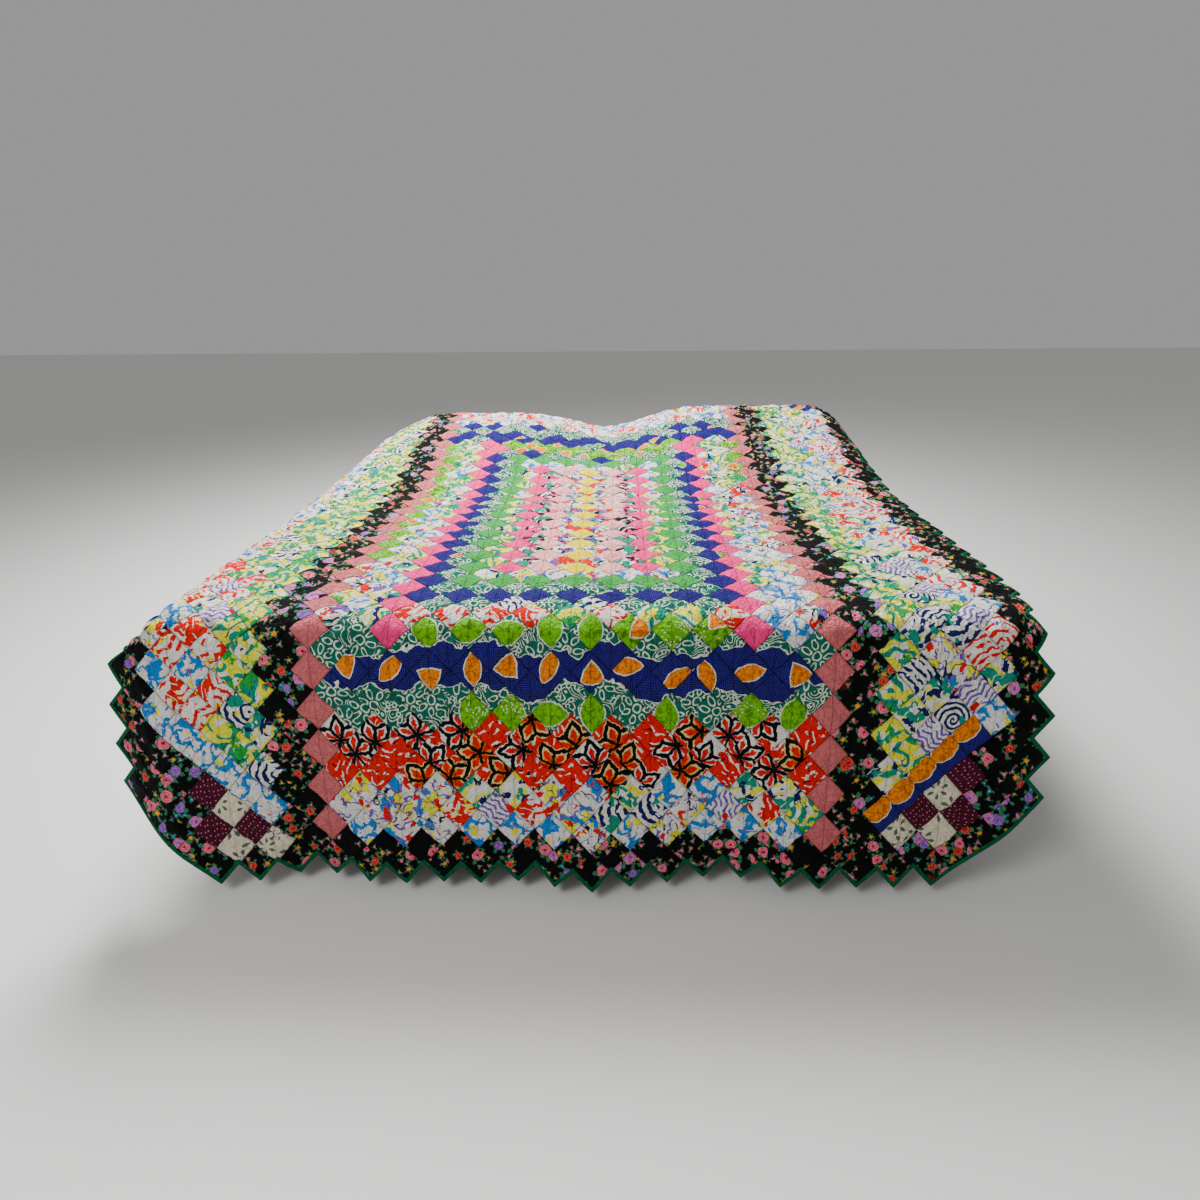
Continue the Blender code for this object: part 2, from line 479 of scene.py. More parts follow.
@asGroup
def arcs(vector, luck, turns=7, width=0.5, off=0.5, coil=0, breaks=0.36, rough=0.1):
    # bold rings or a spiral about a point near the patch's middle
    radius, angle = polar(warped(vector, 5, rough) - aside(luck, off))
    closeness = parts(luck)[1] * 0.7 + 0.65
    lines = stripe(radius * turns * closeness + angle / fullTurn * coil, width)
    return {"mask": lines * inked(vector + luck * 40, 4.5, breaks)}


@asGroup
def ringFlowers(vector, scale=14, share=0.75):
    # outlined ring flowers with oval petals, and wandering lines between them
    petalCount = 7
    radius, angle, picks = scattered(warped(vector, 60, 0.006) * scale, 0.55)
    axis = fromPetalAxis(angle + picks[1] * fullTurn, petalCount)
    ring = band(radius, 0.13, 0.03, 0.012)
    across = axis * radius * (math.pi / petalCount) / 0.085
    along = (radius - 0.37) / 0.155
    oval = across * across + along * along
    petals = band(reckon("SQRT", oval), 0.94, 0.24, 0.1)
    shown = step(picks[0], share, share - 0.01)
    wander = stripe(noise(vector, scale * 2, 0.4) * 9, 0.36, 0.08)
    spots = cellsIn(vector, scale * 3.4, 1)["Distance"]
    lines = (wander * step(spots, 0.26, 0.34)).most(band(spots, 0.22, 0.08, 0.03))
    between = lines * (1 - shown * step(radius, 0.6, 0.55))
    return {"mask": (ring.most(petals) * shown).most(between)}


@asGroup
def blooms(vector, scale=30, lobes=5, size=0.3, share=0.6, leaves=5, reach=1.9, folds=42):
    # garden flowers: a lobed bloom with folded petals inside, a heart, and leaves round it
    radius, angle, picks = scattered(warped(vector, 150, 0.003) * scale, 0.8)
    spun = angle + picks[1] * fullTurn
    wide = (picks[2] * 0.5 + 0.7) * size
    shown = step(picks[0], share, share - 0.01)
    lobe = fromPetalAxis(spun, lobes)
    rim = wide * (lobe * lobe * -0.2 + 1)
    bloom = step(radius, rim, rim - 0.03) * shown
    swirl = radius * folds + spun * 2
    core = wide * 0.26
    inner = wide * 0.7
    along = ((radius - inner) / (wide * reach - inner)).most(0)
    inside = reckon("SINE", reckon("MINIMUM", along, 1) * math.pi)
    leaf = step(fromPetalAxis(spun + 0.6, leaves), inside * 0.5, inside * 0.4)
    return {"bloom": bloom, "fold": bloom * step(reckon("SINE", swirl), 0.1, 0.7),
            "heart": step(radius, core, core * 0.8) * shown,
            "leaf": leaf * step(inside, 0.02, 0.06) * shown, "pick": picks[2]}


@asGroup
def brushFlower(vector, luck, size=0.48, petals=7, line=0.06, off=0.6):
    # one bold flower to a patch: thick dark outline, pale rim, a stroke down each petal
    radius, angle = polar(warped(vector, 8, 0.09) - aside(luck, off))
    axis = fromPetalAxis(angle + parts(luck)[0] * fullTurn, petals)
    rim = size * (reckon("POWER", axis, 0.8) * -0.46 + 1)
    inside = step(radius, rim, rim - 0.015)
    side = (1 - axis) * radius * math.pi / petals
    between = step(side, line * 0.8, line * 0.45)
    core = step(radius, 0.075, 0.06)
    outline = band(radius, rim, line, 0.015).most(inside * between.most(core))
    echo = rim + 0.105
    stroke = step(axis, 0.5, 0.34) * band(radius / rim, 0.46, 0.3, 0.05)
    return {"outline": outline, "glow": step(radius, rim * 0.62, rim * 0.72) * inside,
            "stroke": stroke * inside, "inside": inside, "echo": step(radius, echo, echo - 0.02)}


@asGroup
def cutShape(vector, luck, length=0.45, width=0.26, wedge=0, line=0.03, off=0.35, spin=1, turn=0,
             moveX=0, moveY=0):
    # one leaf (wedge 0) or curved wedge (wedge 1) to a patch, with its outline
    first, second = parts(luck)
    place = warped(vector, 7, 0.045) - (aside(luck, off) + joined(moveX, moveY))
    chance = (first + second) * 7
    place = turned(place, turn + reckon("FRACT", chance) * spin * fullTurn)
    x, y = parts(place)
    along = x / length
    leafAway = y.size() - (1 - along * along) * width
    radius, angle = polar(place)
    third = (1 - fromPetalAxis(angle, 3)) * (math.pi / 3)
    flank = reckon("COSINE", third).most(0.01)
    wedgeAway = radius * reckon("POWER", flank, 0.62) - width
    away = leafAway * (1 - wedge) + wedgeAway * wedge
    fill = step(away, 0, -0.012)
    return {"fill": fill, "line": step(away, line, line - 0.012) - fill}


@asGroup
def hatch(vector, scale=215):
    # short strokes that cross in blocks
    x, y = parts(warped(vector, 40, 0.006) * scale)
    blocks = step(noise(vector, 45, 0), 0.49, 0.51)
    return {"mask": step(x.bounce() * blocks + y.bounce() * (1 - blocks), 0.2, 0.36)}


@asGroup
def specks(vector, scale=120, size=0.2, stretch=1, random=0.45):
    # small marks spread over the cloth
    x, y = parts(vector)
    return {"mask": step(cellsIn(joined(x * stretch, y), scale, random)["Distance"], size, size * 0.7)}


@asGroup
def bandSplit(vector, luck, at=0, wander=0.07, jump=0.055, line=0.0016, side=1):
    # a ragged border that splits the cloth at one height, jumping at each seam, with a line along it
    level = parts(vector)[1] + (noise(vector, 17, 2.5) - 0.5) * wander + (parts(luck)[0] - 0.5) * jump
    away = (level - at) * side
    return {"fill": step(away, -0.0005, 0.0005), "line": band(away, 0, line, 0.0006)}


@asGroup
def clothGrain(vector, patch, threads=900, crinkle=1, seams=1):
    # woven threads, the crinkle of washed cotton, uneven dye and painted shade; patch is the place in the
    # patch, for the seams' ditches and puckers and the quilting line down its middle, both also darkened in
    # colour as painted shade
    x, y = parts(vector * threads)
    weave = reckon("SINE", x * fullTurn) * reckon("SINE", y * fullTurn)
    folds = noise(warped(vector, 38, 0.022), 62, 3)
    ridge = 1 - (folds * 2 - 1).size()
    across, along = [part.size() for part in parts(patch)]
    inward = 0.5 - (across + along)
    ditch = step(inward, 0.035, 0) * seams
    middle = reckon("MINIMUM", across, (across - 0.5).size())
    stitches = step(middle, 0.022, 0.004) * seams
    pucker = noise(vector, 170, 1) * step(inward, 0.16, 0) * seams
    height = reckon("POWER", ridge, 3) * crinkle + ditch * -0.9 + stitches * -0.5
    even = noise(vector, 18, 3) * 0.22 + (weave * 0.03 + 0.89)
    # the colour factor is the uneven dye times painted shade, darker in the seam ditches and along the
    # quilting line
    return {"height": weave * 0.04 + height + pucker * 0.7,
            "shade": even * (ditch * -0.26 + (stitches * -0.16 + 1))}


print("motif groups made")

# dyes and the printed cottons
dyes = {name: linear(*value) for name, value in {
    "white": (240, 237, 228), "cream": (232, 222, 192), "black": (5, 5, 7), "ink": (18, 18, 34),
    "navy": (44, 34, 140), "navyDark": (16, 12, 58), "zebraNavy": (20, 28, 92), "purple": (120, 88, 185),
    "green": (0, 106, 88), "lime": (110, 192, 0), "limeDark": (74, 128, 0), "outline": (234, 240, 214),
    "orange": (252, 138, 0), "orangeDark": (186, 84, 0), "sand": (246, 214, 130), "red": (232, 18, 4),
    "blue": (18, 130, 210), "teal": (0, 148, 122), "paleYellow": (244, 238, 52), "leafGreen": (34, 170, 62),
    "yellow": (255, 226, 0), "lightPink": (255, 172, 168), "hotPink": (255, 58, 132),
    "lightGreen": (58, 164, 68), "rose": (208, 108, 110), "maroon": (82, 12, 42), "sprig": (190, 150, 150),
    "greyLeaf": (96, 108, 92), "mauve": (160, 130, 175), "coral": (246, 88, 70), "coralDark": (176, 30, 34),
    "pink": (238, 128, 170), "flowerYellow": (246, 186, 40), "leaf": (54, 130, 88), "lilac": (176, 104, 200),
    "charcoal": (18, 18, 21), "scroll": (92, 90, 88), "bindGreen": (0, 96, 60), "pillow": (226, 221, 210),
    "baseCloth": (34, 34, 38),
}.items()}


def layer(motif, dye, out="mask", on="print", **values):
    return {"motif": motif, "dye": dye, "out": out, "on": on, "values": values}


def cotton(ground, *layers):
    return {"ground": ground, "layers": layers}


def blots(dye, scale, amount, edge=0.02, out="mask", **values):
    return layer("splodges", dye, out, scale=scale, amount=amount, edge=edge, **values)


def strokes(dye, scale, bend, width, breaks, turn=0.0):
    return layer("brushBands", dye, scale=scale, bend=bend, width=width, breaks=breaks, turn=turn)


def rings(dye, turns, width, off, breaks, rough, coil=0.0):
    return layer("arcs", dye, "mask", "local", turns=turns, width=width, off=off, breaks=breaks, rough=rough,
                 coil=coil)


def leafOn(dye, **values):
    # a cut-out leaf or wedge with mottled dye and a pale outline, laid on the tropical ground
    return [layer("cutShape", dye, "fill", "local", **values),
            dict(blots(dye + "Dark", 95, 0.47, 0.06), inside="fill", part=0.75),
            layer("cutShape", "outline", "line", "local", **values)]


def boldFlower(partDyes, **values):
    return [layer("brushFlower", dye, part, "local", **values) for part, dye in partDyes.items()]


def gardenFlowers(bloomDyes, foldDyes, heartDye, **values):
    # leaves first, then blooms in one dye after another, each with darker folds
    made = [layer("blooms", "leaf", "leaf", **values)]
    for index, (bloom, fold) in enumerate(zip(bloomDyes, foldDyes)):
        for part, dye in (("bloom", bloom), ("fold", fold)):
            made.append(dict(layer("blooms", dye, part, **values), pick=index / len(bloomDyes)))
    return [*made, layer("blooms", heartDye, "heart", **values)]


def ringBand(height, side):
    # ring flowers past a ragged border at a height on the quilt, counted in cells
    border = dict(at=height * cell, side=side)
    return [layer("bandSplit", "green", "fill", "flat", **border), dict(fabricRings, inside="fill"),
            layer("bandSplit", "outline", "line", "flat", **border)]


smallBuds = dict(scale=62, lobes=3, size=0.27, share=0.23, leaves=3, reach=2.3, folds=20)
yellowSprays = dict(scale=44, lobes=4, size=0.27, share=0.17, leaves=5, reach=2.2, folds=60)
looseSprigs = dict(scale=17, size=0.2, share=0.85, leaves=6, reach=2.4)
tealStrokes = dict(scale=15, bend=0.06, width=0.44, breaks=0.36, rim=0.3)
blueBlots = dict(scale=21, amount=0.51, edge=0.035, warp=0.014)
fabricRings = layer("ringFlowers", "outline")
hatching = layer("hatch", "navyDark")
paleSpecks = layer("specks", "outline", scale=125, size=0.26, random=1)

cottons = {
    **{dye + "Plain": cotton(dye) for dye in ("yellow", "lightPink", "hotPink", "lightGreen", "rose")},
    "maroonSprig": cotton("maroon", layer("specks", "sprig", scale=76, size=0.16, stretch=1.5)),
    "creamSprig": cotton("cream", layer("blooms", "greyLeaf", "leaf", **looseSprigs),
                         dict(layer("blooms", "mauve", "fold", **looseSprigs), pick=0.5)),
    "navyHatch": cotton("navy", hatching),
    "navyOrange": cotton("navy", hatching, *leafOn("orange", wedge=1, width=0.17, off=0.9)),
    "navyLime": cotton("navy", hatching, *leafOn("lime", length=0.3, width=0.14, off=1.1)),
    "ringGreen": cotton("green", fabricRings),
    "limeLeaf": cotton("green", fabricRings, *leafOn("lime", length=0.5, width=0.3, off=0.25, spin=0.35)),
    "limeWhole": cotton("green", fabricRings, *leafOn("lime", length=0.72, width=0.5, off=0.45),
                        dict(paleSpecks, spots=0.55)),
    "limeOrange": cotton("lime", blots("limeDark", 70, 0.48, 0.06), dict(paleSpecks, spots=0.6),
                         *leafOn("orange", wedge=1, width=0.2, off=0.7)),
    "orangeWedge": cotton("navy", hatching, *leafOn("orange", wedge=1, width=0.215, off=0.3)),
    "orangeLens": cotton("navy", hatching, *leafOn("orange", length=0.42, width=0.2, off=0.3)),
    "bandTop": cotton("navy", hatching, *ringBand(0.5, -1.0)),
    "bandLow": cotton("navy", hatching, *ringBand(1.46, 1.0)),
    "orangeScallop": cotton(
        "navy", strokes("navyDark", 230, 0.004, 0.4, 0.0),
        *leafOn("orange", length=0.47, width=0.25, off=0.08, spin=0, turn=math.pi / 4.0, moveX=-0.13,
                moveY=-0.13)),
    "redFlower": cotton(
        "white", blots("red", 15, 0.52, 0.01), strokes("white", 60, 0.05, 0.26, 0.52),
        *boldFlower(dict(echo="white", inside="white", stroke="red", outline="black"),
                    petals=6, size=0.62, line=0.078, off=0.75)),
    "redFlowerSand": cotton(
        "red", strokes("white", 62, 0.05, 0.4, 0.52),
        *boldFlower(dict(echo="sand", inside="orange", glow="sand", stroke="red", outline="black"),
                    petals=5, size=0.6, line=0.074, off=0.7)),
    "redBlock": cotton(
        "red", strokes("white", 52, 0.05, 0.34, 0.5), strokes("black", 36, 0.09, 0.16, 0.54, 1.1)),
    "blueBrush": cotton(
        "white", blots("paleYellow", 20, 0.36, 0.03), blots("blue", **blueBlots),
        blots("white", out="core", **blueBlots), strokes("blue", 30, 0.08, 0.2, 0.5),
        strokes("red", 26, 0.1, 0.12, 0.6, 0.7)),
    "redBrush": cotton(
        "white", blots("paleYellow", 24, 0.34, 0.03),
        layer("zigzags", "red", scale=52, width=0.52, breaks=0.42), blots("red", 18, 0.43, 0.01),
        strokes("white", 62, 0.04, 0.24, 0.48, 0.5)),
    "redArcs": cotton("white", rings("red", 4.6, 0.5, 1.3, 0.38, 0.14), blots("purple", 26, 0.33)),
    "zebraNavy": cotton(
        "white", blots("paleYellow", 26, 0.3), rings("zebraNavy", 5.2, 0.54, 1.5, 0.36, 0.15),
        blots("teal", 22, 0.38)),
    "navyCoil": cotton("white", rings("zebraNavy", 6.6, 0.56, 0.5, 0.2, 0.08, 1.0), blots("teal", 22, 0.34)),
    "purpleChevron": cotton(
        "white", layer("zigzags", "purple", scale=76, width=0.5, breaks=0.34),
        strokes("ink", 34, 0.07, 0.1, 0.52), blots("red", 24, 0.3)),
    "tealBlock": cotton(
        "white", layer("brushBands", "teal", **tealStrokes),
        layer("brushBands", "paleYellow", "edge", **tealStrokes), blots("zebraNavy", 34, 0.38, 0.01),
        strokes("white", 50, 0.05, 0.16, 0.5, 0.8)),
    "yellowSwirl": cotton(
        "paleYellow", strokes("white", 20, 0.1, 0.46, 0.4), blots("leafGreen", 22, 0.4, 0.03, warp=0.02),
        strokes("teal", 22, 0.11, 0.44, 0.36, 0.9), strokes("ink", 26, 0.1, 0.12, 0.52, 2.0)),
    "creamLines": cotton(
        "white", blots("paleYellow", 20, 0.42, 0.03), blots("blue", 22, 0.36),
        rings("purple", 3.6, 0.26, 1.2, 0.4, 0.34), strokes("ink", 22, 0.12, 0.13, 0.46),
        blots("red", 30, 0.33)),
    "blackTealPink": cotton(
        "white", blots("hotPink", 24, 0.5, warp=0.03), strokes("ink", 32, 0.07, 0.56, 0.4),
        blots("teal", 26, 0.42)),
    "smallMulti": cotton(
        "white", blots("purple", 26, 0.44), strokes("teal", 28, 0.09, 0.4, 0.5),
        strokes("ink", 34, 0.08, 0.34, 0.44, 0.6), blots("red", 24, 0.42, warp=0.03)),
    "blackFloral": cotton(
        "black", *gardenFlowers(("pink",), ("coral",), "pink", **smallBuds),
        *gardenFlowers(("flowerYellow",), ("orangeDark",), "sand", **yellowSprays),
        *gardenFlowers(("coral", "pink"), ("coralDark", "coral"), "coralDark",
                       scale=25, size=0.33, share=0.44, reach=1.65)),
    "roseFloral": cotton(
        "black", *gardenFlowers(("flowerYellow", "blue"), ("orangeDark", "teal"), "sand", **smallBuds),
        *gardenFlowers(("lilac", "pink"), ("purple", "lilac"), "purple",
                       scale=24, size=0.35, share=0.7, reach=1.75)),
}
cottonNames = list(cottons)

clothLook = {"roughness": 0.82, "shine": 0.12, "relief": 0.0055, "threads": 900.0, "spots": 30.0}


def newMaterial(name):
    material = bpy.data.materials.new(name)
    material.use_nodes = True
    return material, material.node_tree, material.node_tree.nodes["Principled BSDF"]


def printedCotton(name, crinkle=1.0, threads=clothLook["threads"], seams=1.0):
    recipe = cottons[name]
    material, tree, shader = newMaterial(name)
    maps, used = {}, {}

    def mapped(which):
        if which not in maps:
            maps[which] = Wire(tree, put(tree, "UVMap", {"uv_map": which}).outputs[0])
        return maps[which]

    def motifOutputs(item):
        # layers with the same motif and values share one node
        key = (item["motif"], item["on"], tuple(sorted(item["values"].items())))
        if key not in used:
            node = put(tree, "Group", {"node_tree": bpy.data.node_groups[item["motif"]]},
                       vector=mapped(item["on"]), **item["values"])
            if "luck" in node.inputs:
                feed(tree, node.inputs["luck"], mapped("luck"))
            used[key] = outputsOf(tree, node)
        return used[key]

    color = dyes[recipe["ground"]]
    for item in recipe["layers"]:
        outputs = motifOutputs(item)
        mask = outputs[item["out"]]
        if "pick" in item:
            mask = mask * step(outputs["pick"], item["pick"] - 0.01, item["pick"])
        if "inside" in item:
            mask = mask * [other for other in used.values() if item["inside"] in other][0][item["inside"]]
        if "spots" in item:
            spots = noise(mapped("print"), clothLook["spots"], 0)
            mask = mask * step(spots, item["spots"], item["spots"] + 0.02)
        if "part" in item:
            mask = mask * item["part"]
        color = mixColor(tree, mask, color, dyes[item["dye"]])
    grainNode = put(tree, "Group", {"node_tree": bpy.data.node_groups["clothGrain"]},
                    vector=mapped("flat"), threads=threads, crinkle=crinkle, seams=seams)
    if seams:
        feed(tree, grainNode.inputs["patch"], mapped("local"))
    grain = outputsOf(tree, grainNode)
    # the printed colour darkened by uneven dye and by painted shade in the seam ditches and quilting lines
    shaded = mixColor(tree, 1.0, color, grain["shade"], "MULTIPLY")
    bump = put(tree, "Bump", Strength=1.0, Distance=clothLook["relief"], Height=grain["height"])
    for label, value in (("Base Color", shaded), ("Normal", Wire(tree, bump.outputs[0])),
                         ("Roughness", clothLook["roughness"]), ("Specular IOR Level", clothLook["shine"])):
        feed(tree, shader.inputs[label], value)
    return material


# the cottons that a row of patches is cut from, one name for each equal chance
rowMixes = {
    "bluish": "blueBrush blueBrush creamLines tealBlock yellowSwirl smallMulti",
    "footUpper": "blueBrush tealBlock blueBrush zebraNavy creamLines blueBrush tealBlock",
    "footLower": "zebraNavy redBrush tealBlock navyCoil yellowSwirl purpleChevron redBrush creamLines",
    "swirl": "yellowSwirl yellowSwirl yellowSwirl tealBlock yellowSwirl zebraNavy",
    "inky": "zebraNavy tealBlock purpleChevron navyCoil yellowSwirl creamLines tealBlock purpleChevron",
    "innerRight": "yellowSwirl tealBlock blueBrush purpleChevron redBrush creamLines tealBlock",
    "outerRight": "redArcs creamLines purpleChevron blueBrush redBrush tealBlock",
    "innerLeft": "redBrush yellowSwirl purpleChevron tealBlock redBrush blueBrush",
    "outerLeft": "blueBrush redBrush creamLines blueBrush redBrush",
    "pale": "yellowSwirl creamLines tealBlock yellowSwirl blueBrush",
    "ring": "ringGreen ringGreen zebraNavy ringGreen",
    "flower": "redFlower redFlowerSand redBlock redFlower redFlower redFlowerSand",
    "limes": "limeLeaf limeWhole limeLeaf limeOrange",
    "headLimes": "limeOrange limeLeaf limeOrange limeWhole limeOrange",
    "wedges": "orangeWedge orangeLens orangeWedge orangeLens navyHatch orangeWedge",
    "navies": "navyHatch navyHatch navyHatch navyHatch navyOrange navyLime",
    "zigzagRow": "redBrush redBrush yellowSwirl redBrush zebraNavy",
}


def chosenFrom(row, chance):
    names = rowMixes.get(row, row).split()
    return names[int(chance * len(names)) % len(names)]


def cornerSquares(u, a, r):
    # the small checked block outside each end of the outer column, and the row above it
    total = a + r
    if not 7.9 < a < 10.6 or total < 12.4 or total > 14.6:
        return None
    if total < 13.0:
        return "orangeScallop" if u > 0.0 and a < 10.1 else "blueBrush"
    inward = a - (8.5 if u > 0.0 else 8.0)
    if (0.9 if total > 14.0 else -0.1) < inward < 1.6:
        return "creamSprig" if inward % 1.0 < 0.1 else "maroonSprig"
    return None


def middleField(a, r):
    # the long rectangle of plain colours and small prints on the middle of the bed
    if a > 2.9 or r > -2.6:
        return "lightGreenPlain"
    if r > -3.1:
        return "pale"
    columns = ("yellowPlain", "smallMulti", "lightPinkPlain", "blackTealPink", "hotPinkPlain", "pale")
    return columns[int(a * 2.0)]


def headBands(a, v, chance):
    # rows past the light green ring at the head: limes, a navy band, ring flowers, then pale prints
    past = -14.5 - v
    if past < 0.6:
        return "navyHatch" if chance > 0.75 else "ringGreen"
    if past < 1.6:
        return "hotPinkPlain" if a > 3.6 else "headLimes"
    if past < 2.6:
        return "ringGreen" if chance > 0.86 else "navies"
    if past < 3.6:
        return "navyHatch" if chance > 0.86 else "ringGreen"
    return "outerLeft"


def footBands(u, a, r, chance):
    # rows between the two rose columns, from the edge of the bed down the flap
    if r >= 4.9:
        return "blueBrush" if chance < 0.7 else "creamLines"
    if r >= 3.9:
        return "footLower" if r >= 4.4 else "footUpper"
    if a > 5.6 and r > 2.6:
        return "redBlock"
    if r >= 2.4:
        return "flower"
    if r >= 1.9:
        return chosenFrom("limes", chance * 0.7) if u > -3.0 and chance < 0.8 else "ringGreen"
    if r >= 1.4:
        return "bandLow"
    if r >= 0.9:
        return "wedges"
    if r >= 0.4:
        return "bandTop" if a < 5.6 else "ringGreen"
    if a > 3.6:
        return "hotPinkPlain" if abs(a - 4.5) < 0.1 else ("ringGreen" if u < 0.0 else "blueBrush")
    return "limes"


def rowFor(u, v, chance):
    # the row's name in rowMixes, or one cotton's own name
    a = abs(u)
    r = abs(v - quilt["midRow"]) + quilt["midRow"]
    side = "Left" if u < 0.0 else "Right"
    corner = cornerSquares(u, a, r)
    if corner:
        return corner
    if a > 10.9 or r >= 5.4 or (a > 7.9 and a + r > 12.6):
        return "roseFloral" if chance > 0.90 else "blackFloral"
    if a > 9.9:
        return "outer" + side
    if a > 8.9 and (side == "Right" or v > -3.0):
        return "innerLeft" if side == "Left" else "inky" if v > -3.0 else "innerRight"
    if a > 7.9:
        return "swirl"
    if a > 6.9:
        return "roseFloral" if chance > (0.82 if side == "Left" else 0.55) else "blackFloral"
    if a > 6.4:
        return "rosePlain"
    if v < -16.1 or (v < -14.6 and a < 4.1) or (v < -15.9 and abs(a - 4.5) < 0.1):
        return headBands(a, v, chance)
    if r >= -0.1:
        return footBands(u, a, r, chance)
    if a < 3.1 and r < -2.4:
        return middleField(a, r)
    if a > 5.4:
        return "limes" if a > 5.9 and v < (-4.0 if side == "Left" else -13.0) else "bluish"
    if a > 4.4:
        return "pale" if a > 4.9 else "hotPinkPlain"
    if r > -1.1:
        return "zigzagRow" if r > -0.6 else "ring"
    return "navies" if a > 3.9 or r > -1.6 else "ringGreen"


def chanceAt(chances, s, t):
    return chances[s % chances.shape[0], t % chances.shape[1]]


def clothUvs(mesh, flat, chances):
    # flat: the whole quilt in metres; print: each patch cut from its own place in the bolt;
    # local: the place in the patch, in cells from its middle; luck: a pair of chances for each patch
    corners = atCorners(mesh, flat)[:, :2]
    middles = corners.reshape(-1, 4, 2).mean(axis=1)
    s, t, midU, midV = patchKey(middles)[:4]
    chance = chanceAt(chances, s, t)
    each = np.repeat(np.arange(len(middles)), 4)
    inside = corners - np.stack([midU, midV], axis=1)[each] * cell
    turn = (np.floor(chance[:, 1] * 8.0) * math.pi / 4.0)[each]
    across, along = inside.T
    inBolt = np.stack([across * np.cos(turn) - along * np.sin(turn),
                       across * np.sin(turn) + along * np.cos(turn)], axis=1)
    writeUv(mesh, "flat", corners)
    writeUv(mesh, "print", inBolt + chance[each][:, 1:3] * quilt["bolt"])
    writeUv(mesh, "local", inside / cell)
    writeUv(mesh, "luck", chance[each][:, 1:3])
    return midU, midV, chance[:, 0]


def creaseLift(flat):
    # the larger rises and hollows of the cloth, met by both skins and the binding
    u, v = flat[:, 0] / cell, flat[:, 1] / cell
    lift = np.zeros(len(u))
    for atU, atV, halfWide, halfLong, depth in creases:
        lift += depth * np.exp(-((u - atU) / halfWide) ** 2 - ((v - atV) / halfLong) ** 2)
    longSwell = np.sin(1.9 * u + 0.8 * v) * np.sin(1.3 * v - 0.5 * u + 1.0)
    shortSwell = np.sin(4.1 * u - 1.1 * v + 2.0) * np.sin(3.3 * v + 0.7)
    return lift + quilt["longSwell"] * longSwell + quilt["shortSwell"] * shortSwell


def crumple(flat):
    # the crinkle of washed cotton: many short waves laid every way
    waves = np.random.default_rng(5)
    lift = np.zeros(len(flat))
    for _ in range(quilt["crumpleWaves"]):
        length = quilt["crumpleShort"] + quilt["crumpleSpread"] * waves.random()
        angle, phase = waves.random(2) * fullTurn
        way = flat[:, 0] * math.cos(angle) + flat[:, 1] * math.sin(angle)
        lift += np.sin(way * fullTurn / length + phase) * length * quilt["crumple"]
    return lift


def edgeTuck(edge):
    # how far the cloth thins toward the binding
    return ease(1.0 - edge / quilt["bindingWide"]) * (quilt["halfThick"] - quilt["edgeThick"])


def buildQuilt(chances):
    made = meshObject("quiltTop", flatCloth(quilt["fineCuts"]))
    mesh = made.data
    flat = readPlaces(mesh)
    s, t, _, _, a, b = patchKey(flat)
    seam = np.minimum(np.minimum(a, 1.0 - a), np.minimum(b, 1.0 - b)) * quilt["patchSide"]
    swell = (np.sin(np.pi * a) * np.sin(np.pi * b)) ** 2
    full = 0.75 + 0.5 * chanceAt(chances, s, t)[:, 2]
    steep = 1.0 - np.exp(-seam / quilt["seamWide"])
    puff = quilt["puff"] * full * (0.5 * steep + 0.5 * np.sqrt(swell))
    u = flat[:, 0] / cell
    away = np.abs(u * 2.0 - np.round(u * 2.0)) / 2.0 * cell
    stitch = quilt["stitchDip"] * np.exp(-((away / quilt["stitchWide"]) ** 2))
    ripple = np.sin(flat[:, 1] * 520.0 + 3.0 * np.sin(flat[:, 0] * 90.0))
    pucker = quilt["pucker"] * ripple * np.exp(-seam / quilt["puckerWide"])
    edge = edgeDistance(flat)
    loose = (puff - stitch + crumple(flat)) * ease(edge / quilt["looseFrom"])
    lift = quilt["halfThick"] - quilt["topLow"] + loose + pucker - edgeTuck(edge) + creaseLift(flat)
    faceU, faceV, chance = clothUvs(mesh, flat, chances)
    writePlaces(mesh, clothPlace(flat, lift))
    keys = {}
    slots = np.empty(len(chance), dtype=np.int32)
    for index, key in enumerate(zip(faceU, faceV, chance)):
        if key not in keys:
            keys[key] = cottonNames.index(chosenFrom(rowFor(*key), key[2]))
        slots[index] = keys[key]
    finished(made, *[printedCotton(name) for name in cottonNames])
    mesh.polygons.foreach_set("material_index", slots)
    mesh.flip_normals()
    return made


def plainCloth(name, dye, crinkle, *extra, threads=clothLook["threads"]):
    # a woven cloth with no patch seams, with motif layers on it if any are given
    cottons[name] = cotton(dye, *extra)
    return printedCotton(name, crinkle, threads, 0.0)


def buildBacking():
    # the under side of the quilt, a skin of its own
    made = meshObject("quiltBack", flatCloth(quilt["backCuts"]))
    mesh = made.data
    flat = readPlaces(mesh)
    writeClothUvs(mesh, atCorners(mesh, flat)[:, :2])
    lift = edgeTuck(edgeDistance(flat)) - quilt["halfThick"] + creaseLift(flat)
    writePlaces(mesh, clothPlace(flat, lift))
    return finished(made, plainCloth("backing", "cream", 1.0))


def bevelEdges(bm, edges, offset, segments):
    bmesh.ops.bevel(bm, geom=edges, offset=offset, segments=segments, affect="EDGES", profile=0.5,
                    material=-1)


